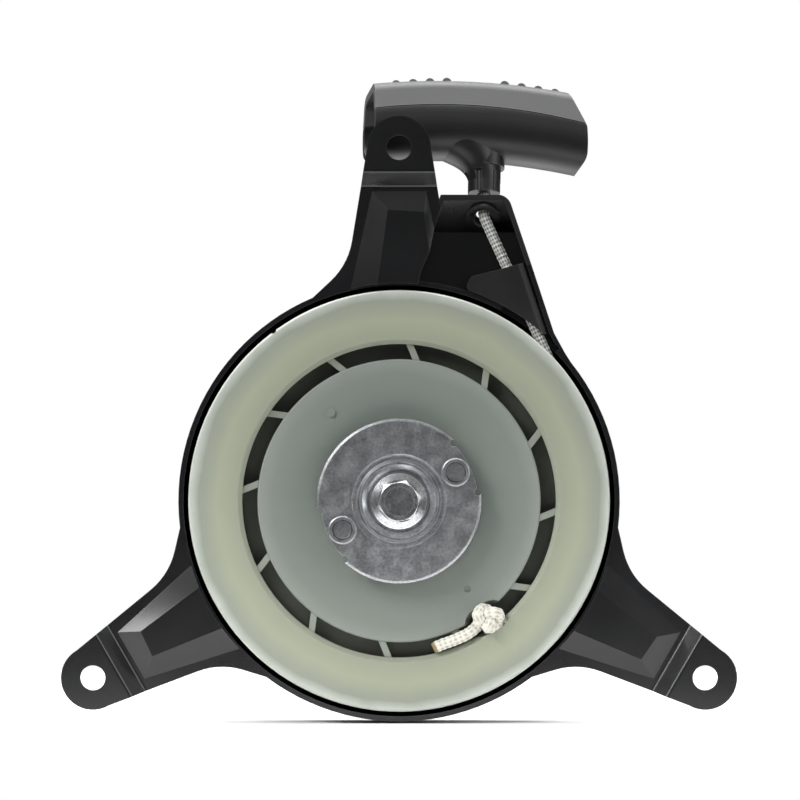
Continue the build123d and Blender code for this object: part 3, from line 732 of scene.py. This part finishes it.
def dress(finishes: dict[str, bpy.types.Material]) -> None:
    """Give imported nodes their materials.

    Args:
        finishes: node names with the material of each.
    """
    for node, material in finishes.items():
        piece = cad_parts[node]
        piece.data.materials.clear()
        piece.data.materials.append(material)
        LOG.info("%s finished as %s", node, material.name)


# ---------------------------------------------------------------- sub-assemblies
# Lower end of the handle's stem, and the washer's top over it, in millimetres: rope and handle share them.
STEM_FOOT: Point = (26.8, 16.5, 96.6)
WASHER_TOP = 14.4


@dataclass
class Case:
    """Stamped case with its guide plate, eyelet, post and backing plate.

    Attributes:
        shell: finish of the case and its eyelet.
        guide: finish of the plate over the rope window.
        post: finish of the turned post and the front washer.
        backing: finish of the backing plate.
        washer: finish of the rear washer.
    """

    shell: Finish = CASE_PAINT
    guide: Finish = GUIDE_PAINT
    post: Finish = TURNED_STEEL
    backing: Finish = ZINC_BOLT
    washer: Finish = BRONZE

    def build(self) -> None:
        """Dress the fixed metal pieces."""
        paint = self.shell.build()
        turned = self.post.build()
        dress({
            "housing": paint, "rope_eyelet": paint, "rope_guide_plate": self.guide.build(),
            "centre_post": turned, "post_backing_plate": self.backing.build(), "thrust_washer_front": turned,
            "thrust_washer_rear": self.washer.build(),
        })


@dataclass
class ReelSet:
    """Nylon reel with its bush, return spring and spring cup.

    Attributes:
        body: finish of the reel.
        bush: finish of its bearing.
        cup: finish of the cup over the return spring.
        springs: finish of every spring on the reel.
    """

    body: Finish = NYLON
    bush: Finish = BRONZE
    cup: Finish = ZINC_DISC
    springs: Finish = SPRING_STEEL

    def build(self) -> None:
        """Dress the reel's own pieces."""
        spring = self.springs.build()
        dress({
            "reel": self.body.build(), "reel_bush": self.bush.build(), "return_spring": spring,
            "spring_cup": self.cup.build(), "pawl_springs": spring, "friction_spring": spring,
        })


@dataclass
class Clutch:
    """Retainer disc, centre bolt, pawls and their pins.

    Attributes:
        disc: finish of the retainer disc.
        bolt: finish of the centre bolt.
        pawls: finish of the pawls and their pins.
    """

    disc: Finish = ZINC_DISC
    bolt: Finish = ZINC_BOLT
    pawls: Finish = TURNED_STEEL

    def build(self) -> None:
        """Dress the clutch pieces."""
        turned = self.pawls.build()
        dress({
            "retainer_plate": self.disc.build(), "centre_bolt": self.bolt.build(), "pawl_pins": turned,
            "pawl_a": turned, "pawl_b": turned,
        })


@dataclass
class Rope:
    """The starter rope: on the reel, to the eyelet, out to the handle, and its knot.

    Attributes:
        leave_radius: radius of the outermost turn's centre line, in millimetres.
        leave_angle: where the rope leaves the reel, in degrees.
        end_angle: where the inner end turns into the reel, in degrees.
        turns: whole turns on the reel.
        pitch: radial step of one turn, in millimetres.
        groove: depth of the groove's middle, in millimetres.
        arc_steps: points in each half turn on the reel.
        straight: length in line with the groove before the rope bends back.
        eye: centre of the eyelet, in millimetres.
        wall_tilt: degrees between the eyelet's axis and the vertical.
        eye_shift: how far the rope leans on the eyelet's rear side, in millimetres.
        eye_lead: share of the way from the bend to the eyelet where the rope runs straight on.
        foot: lower end of the handle's stem, in millimetres.
        stem: unit vector up the stem.
        stem_length: from the stem's foot to the washer in the grip, in millimetres.
        knot_middle: middle of the knot in the reel, in millimetres.
        knot_size: half-size of the knot's curve along, across and out of the slot, in millimetres.
        entry: radius in millimetres, degrees past the knot and depth in millimetres, where the rope comes in.
        tail_radius: radius that the tail lies at, in millimetres.
        tail_start: degrees from the knot to the tail's first point.
        tail_steps: degrees from that point to each steering point of the tail.
        tail_end: where the tail ends, in degrees.
        tail_depth: depth of the tail, in millimetres.
        tail_lift: how far outwards and forwards its end lies from the rest of it, in millimetres.
    """

    leave_radius: float = 61.05
    leave_angle: float = 24.0
    end_angle: float = -43.0
    turns: int = 2
    pitch: float = 3.62
    groove: float = 7.5
    arc_steps: int = 90
    straight: float = 31.0
    eye: Point = (26.4, 13.5, 89.7)
    wall_tilt: float = 49.0
    eye_shift: float = 0.6
    eye_lead: float = 0.86
    foot: Point = STEM_FOOT
    stem: Point = (0.016858, 0.258819, 0.965779)
    stem_length: float = WASHER_TOP
    knot_middle: Point = (27.4, 3.3, -36.9)
    knot_size: Point = (1.42, 1.1, 1.75)
    entry: tuple[Point, Point] = ((52.6, 6.0, 7.5), (50.6, 4.0, 6.6))
    tail_radius: float = 46.9
    tail_start: float = 8.5
    tail_steps: tuple[float, ...] = (0.0, 4.0, 8.0, 12.0)
    tail_end: float = -77.0
    tail_depth: float = 3.4
    tail_lift: tuple[float, float] = (0.5, 0.2)

    def spiral(self) -> list[Vector]:
        """Centre line of the wound rope: half turns about two centres.

        Returns:
            The line's points from the reel's rim inwards, in metres.
        """
        half_step = self.pitch / 2
        remaining = 360 * self.turns + self.leave_angle - self.end_angle
        line = []
        index = 0
        while remaining > 0:
            shift = polar(0.0 if index % 2 == 0 else -half_step, self.leave_angle, 0.0)
            start = self.leave_angle - 180 * (index % 2)
            span = min(180.0, remaining)
            for part in range(self.arc_steps + 1):
                angle = start - span * part / self.arc_steps
                line.append(polar(self.leave_radius - index * half_step, angle, self.groove) + shift)
            remaining -= span
            index += 1
        return line

    def corners(self) -> tuple[Vector, Vector, Vector, Vector, Vector, Vector]:
        """Corner points of the rope from the reel to the grip.

        Returns:
            Where it leaves the reel, bends, passes the eyelet, splits, enters the stem and ends, in metres.
        """
        turn = math.radians(self.leave_angle)
        slope = math.radians(self.wall_tilt)
        leave = polar(self.leave_radius, self.leave_angle, self.groove)
        bend = leave + Vector((-math.sin(turn), 0.0, math.cos(turn))) * self.straight * MM
        eye = (Vector(self.eye) + Vector((0.0, math.sin(slope), math.cos(slope))) * self.eye_shift) * MM
        foot = Vector(self.foot) * MM
        return leave, bend, eye, eye.lerp(foot, 0.5), foot, foot + Vector(self.stem) * self.stem_length * MM

    def build_run(self, finish: bpy.types.Material) -> None:
        """Rope from the reel through the eyelet, which runs along itself.

        Args:
            finish: the rope's material.
        """
        leave, bend, eye, split, _, _ = self.corners()
        near = bend.lerp(eye, self.eye_lead)
        line = smooth_line([leave, leave.lerp(bend, 0.5), bend, bend.lerp(eye, 0.5), near, eye, split])
        piece = BraidedTube("rope_run_braid", line).build(finish)
        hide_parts("rope_run")
        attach(piece, "housing")
        LOG.info("%s: rope from reel to eyelet", piece.name)

    def build_pull(self) -> None:
        """Rope behind the eyelet, which lengthens as the handle is drawn out."""
        _, _, _, split, foot, top = self.corners()
        finish = BraidedCord("speckled_braided_polyester_out", "#e2e2dd", roughness=0.7, flow=FlowAxis.STEM,
                             axis=self.stem).build()
        line = smooth_line([split, split.lerp(foot, 0.5), foot, foot.lerp(top, 0.3), top])
        piece = BraidedTube("rope_pull_braid", line, relief=0.0, step=0.12).build(finish)
        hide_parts("rope_pull")
        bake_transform(piece)
        LOG.info("%s: rope at the handle", piece.name)

    def build_wound(self, finish: bpy.types.Material) -> None:
        """Turns of rope in the reel's groove.

        Args:
            finish: the rope's material.
        """
        braid = BraidedTube("rope_wound_braid", self.spiral(), step=0.75, around=24, relief=0.08)
        piece = braid.build(finish)
        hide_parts("rope_wound")
        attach(piece, "reel")
        LOG.info("%s: wound rope", piece.name)

    def build_knot(self) -> None:
        """Stopper knot in the reel's slot, with its tail lying along the slot."""
        middle = Vector(self.knot_middle) * MM
        angle = math.degrees(math.atan2(middle.z, middle.x))
        outward = polar(1.0, angle, 0.0).normalized()
        toward = Vector((0.0, -1.0, 0.0))
        along = outward.cross(toward).normalized()
        if along.dot(polar(1.0, angle - 90, 0.0)) < 0:
            along = -along
        turns = overhand(middle, along, outward, toward, self.knot_size)
        entry = [polar(radius, angle + past, depth) for radius, past, depth in self.entry]
        tail = [polar(self.tail_radius, angle - self.tail_start - step, self.tail_depth)
                for step in self.tail_steps]
        outwards, forwards = self.tail_lift
        tail.append(polar(self.tail_radius + outwards, self.tail_end, self.tail_depth - forwards))
        fused = MouldedPlastic("melted_rope_end", "#8d7a52", roughness=0.4, grain_mm=0.4).build()
        first, last = turns[0], turns[-1]
        if (first - tail[0]).length < (last - tail[0]).length:
            turns.reverse()
        line = smooth_line(entry + turns + tail, 8)
        piece = BraidedTube("reel_knot_braid", line, radius=1.8, pick=1.7, relief=0.16, fused_end=1.1)
        knot = piece.build(ROPE_KNOT.build(), fused)
        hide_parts("reel_knot")
        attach(knot, "reel")
        LOG.info("%s: knot and tail", knot.name)

    def build(self) -> None:
        """Make every stretch of the rope."""
        finish = ROPE_GREY.build()
        self.build_run(finish)
        self.build_pull()
        self.build_wound(finish)
        self.build_knot()


@dataclass
class Handle:
    """T handle with the knot and washer that hold the rope inside it.

    Attributes:
        foot: lower end of its stem, in millimetres.
        lean: degrees that the stem leans to the right.
        back: degrees that the stem leans away from the engine.
        turn: degrees that the grip is turned about the stem.
        rope_start: height of the washer's top over the foot, in millimetres.
        knot_height: height of the knot's middle over the foot, in millimetres.
        knot_size: half-size of the knot's curve down, along and out of the grip, in millimetres.
        tail: end of the rope's tail, from the foot's axis and the knot's middle, in millimetres.
        lower: finish of the grip's lower half with the stem.
        upper: finish of the shell above the parting line.
        washer: finish of the washer under the knot.
    """

    foot: Point = STEM_FOOT
    lean: float = 1.0
    back: float = 15.0
    turn: float = 10.0
    rope_start: float = WASHER_TOP
    knot_height: float = 19.4
    knot_size: Point = (1.2, 1.25, 1.7)
    tail: Point = (4.5, 1.0, 5.5)
    lower: Finish = GRIP_LOWER
    upper: Finish = GRIP_UPPER
    washer: Finish = TURNED_STEEL

    def place(self) -> Matrix:
        """Place the handle's own frame in the part's frame.

        Returns:
            The matrix from one to the other, in metres.
        """
        lean = Matrix.Rotation(math.radians(self.lean), 4, "Y")
        back = Matrix.Rotation(math.radians(-self.back), 4, "X")
        turned = lean @ back @ Matrix.Rotation(math.radians(self.turn), 4, "Z")
        return Matrix.Translation(Vector(self.foot) * MM) @ turned

    def build(self) -> None:
        """Dress the grip and tie the knot inside it."""
        dress({
            "grip_body": self.lower.build(), "grip_cap": self.upper.build(),
            "handle_washer": self.washer.build(),
        })
        place = self.place()
        axes = place.to_3x3()
        middle = place @ Vector((0.0, 0.0, self.knot_height * MM))
        down, right, out = (axes @ Vector(way) for way in ((0, 0, -1), (1, 0, 0), (0, -1, 0)))
        turns = overhand(middle, down, right, out, self.knot_size)
        start = place @ Vector((0.0, 0.0, self.rope_start * MM))
        beside, behind, above = self.tail
        tail = place @ Vector((beside * MM, behind * MM, (self.knot_height + above) * MM))
        line = smooth_line([start, start.lerp(turns[0], 0.5)] + turns + [tail], 8)
        knot = BraidedTube("handle_knot_braid", line, radius=1.7, relief=0.15).build(ROPE_KNOT.build())
        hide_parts("handle_knot")
        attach(knot, "handle")
        LOG.info("%s: knot in the grip", knot.name)


# ---------------------------------------------------------------- studio
@dataclass
class Studio:
    """Pale floor, soft light and the camera.

    Attributes:
        distance: camera distance from the part, in metres.
        view_width: width of the view at the part, in metres.
        aim: point that the camera looks straight at, in metres.
        sensor: width of the camera's sensor, in millimetres.
        floor_radius: radius of the floor, in metres.
        floor_back: how far the floor's middle lies behind the part, in metres.
        floor_gap: clearance under the part, in metres.
    """

    distance: float = 1.6
    view_width: float = 0.25
    aim: Point = (0.0003, 0.0, 0.0316)
    sensor: float = 36.0
    floor_radius: float = 0.26
    floor_back: float = 0.1
    floor_gap: float = 0.0006

    def build_floor(self) -> None:
        """Lay a round pale floor just under the part."""
        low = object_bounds()[0][2] - self.floor_gap
        mesh = bpy.data.meshes.new("studio_floor")
        sheet = bmesh.new()
        bmesh.ops.create_circle(sheet, cap_ends=True, segments=128, radius=self.floor_radius)
        bmesh.ops.translate(sheet, verts=sheet.verts, vec=(0.0, self.floor_back, low))
        sheet.to_mesh(mesh)
        sheet.free()
        floor = bpy.data.objects.new("studio_floor", mesh)
        bpy.context.scene.collection.objects.link(floor)
        mesh.materials.append(PAPER.build())
        floor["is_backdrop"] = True

    def add_light(self, name: str, place: Point, size: tuple[float, float], power: float) -> None:
        """Soft box that faces the part.

        Args:
            name: the light's name.
            place: its centre, in metres.
            size: its width and height, in metres.
            power: its output, in watts.
        """
        light = bpy.data.lights.new(name, "AREA")
        light.shape = "RECTANGLE"
        light.size, light.size_y = size
        light.energy = power
        lamp = bpy.data.objects.new(name, light)
        lamp.location = place
        lamp.rotation_euler = (Vector(self.aim) - Vector(place)).to_track_quat("-Z", "Y").to_euler()
        bpy.context.scene.collection.objects.link(lamp)

    def build_world(self) -> None:
        """White behind the part, and grey light that falls off towards the ground."""
        world = bpy.data.worlds.new("studio")
        world.use_nodes = True
        tree = world.node_tree
        back = tree.nodes["Background"]
        where = add_node(tree, "ShaderNodeTexCoord").outputs["Generated"]
        split = add_node(tree, "ShaderNodeSeparateXYZ", links={0: where})
        height = add_node(tree, "ShaderNodeMapRange", {"From Min": -1.0}, {"Value": split.outputs["Z"]})
        sky = add_node(tree, "ShaderNodeValToRGB", None, {"Fac": height.outputs["Result"]},
                       [(0.2, "#303031"), (0.5, "#646566"), (0.85, "#b4b5b6")])
        seen = add_node(tree, "ShaderNodeLightPath").outputs["Is Camera Ray"]
        mixed = add_node(tree, "ShaderNodeMix", {"data_type": "RGBA", 7: linear("#ffffff")},
                         {0: seen, 6: sky.outputs["Color"]})
        tree.links.new(mixed.outputs[2], back.inputs["Color"])
        bpy.context.scene.world = world

    def build_camera(self) -> None:
        """Long lens straight in front, level with the middle of the view."""
        lens = bpy.data.cameras.new("studio_camera")
        lens.sensor_width = self.sensor
        lens.lens = self.sensor * self.distance / self.view_width
        lens.clip_end = 20.0
        camera = bpy.data.objects.new("studio_camera", lens)
        camera.location = (self.aim[0], self.aim[1] - self.distance, self.aim[2])
        camera.rotation_euler = (math.pi / 2, 0.0, 0.0)
        bpy.context.scene.collection.objects.link(camera)
        bpy.context.scene.camera = camera

    def build(self) -> None:
        """Set up floor, lights, surround and camera."""
        self.build_camera()
        self.build_floor()
        self.build_world()
        self.add_light("key_softbox", place=(-0.85, -0.6, 0.8), size=(0.6, 0.6), power=14.5)
        self.add_light("fill_softbox", place=(1.0, -0.5, 0.3), size=(0.4, 0.8), power=4.5)
        self.add_light("top_softbox", place=(0.0, 0.15, 0.9), size=(1.1, 0.6), power=17.0)
        bpy.context.scene.view_settings.view_transform = "Standard"
        LOG.info("studio ready")


def main() -> None:
    """Build every sub-assembly."""
    logging.basicConfig(level=logging.INFO, format="%(name)s: %(message)s")
    Studio().build()
    Case().build()
    ReelSet().build()
    Clutch().build()
    Rope().build()
    Handle().build()


if __name__ == "__main__":
    main()
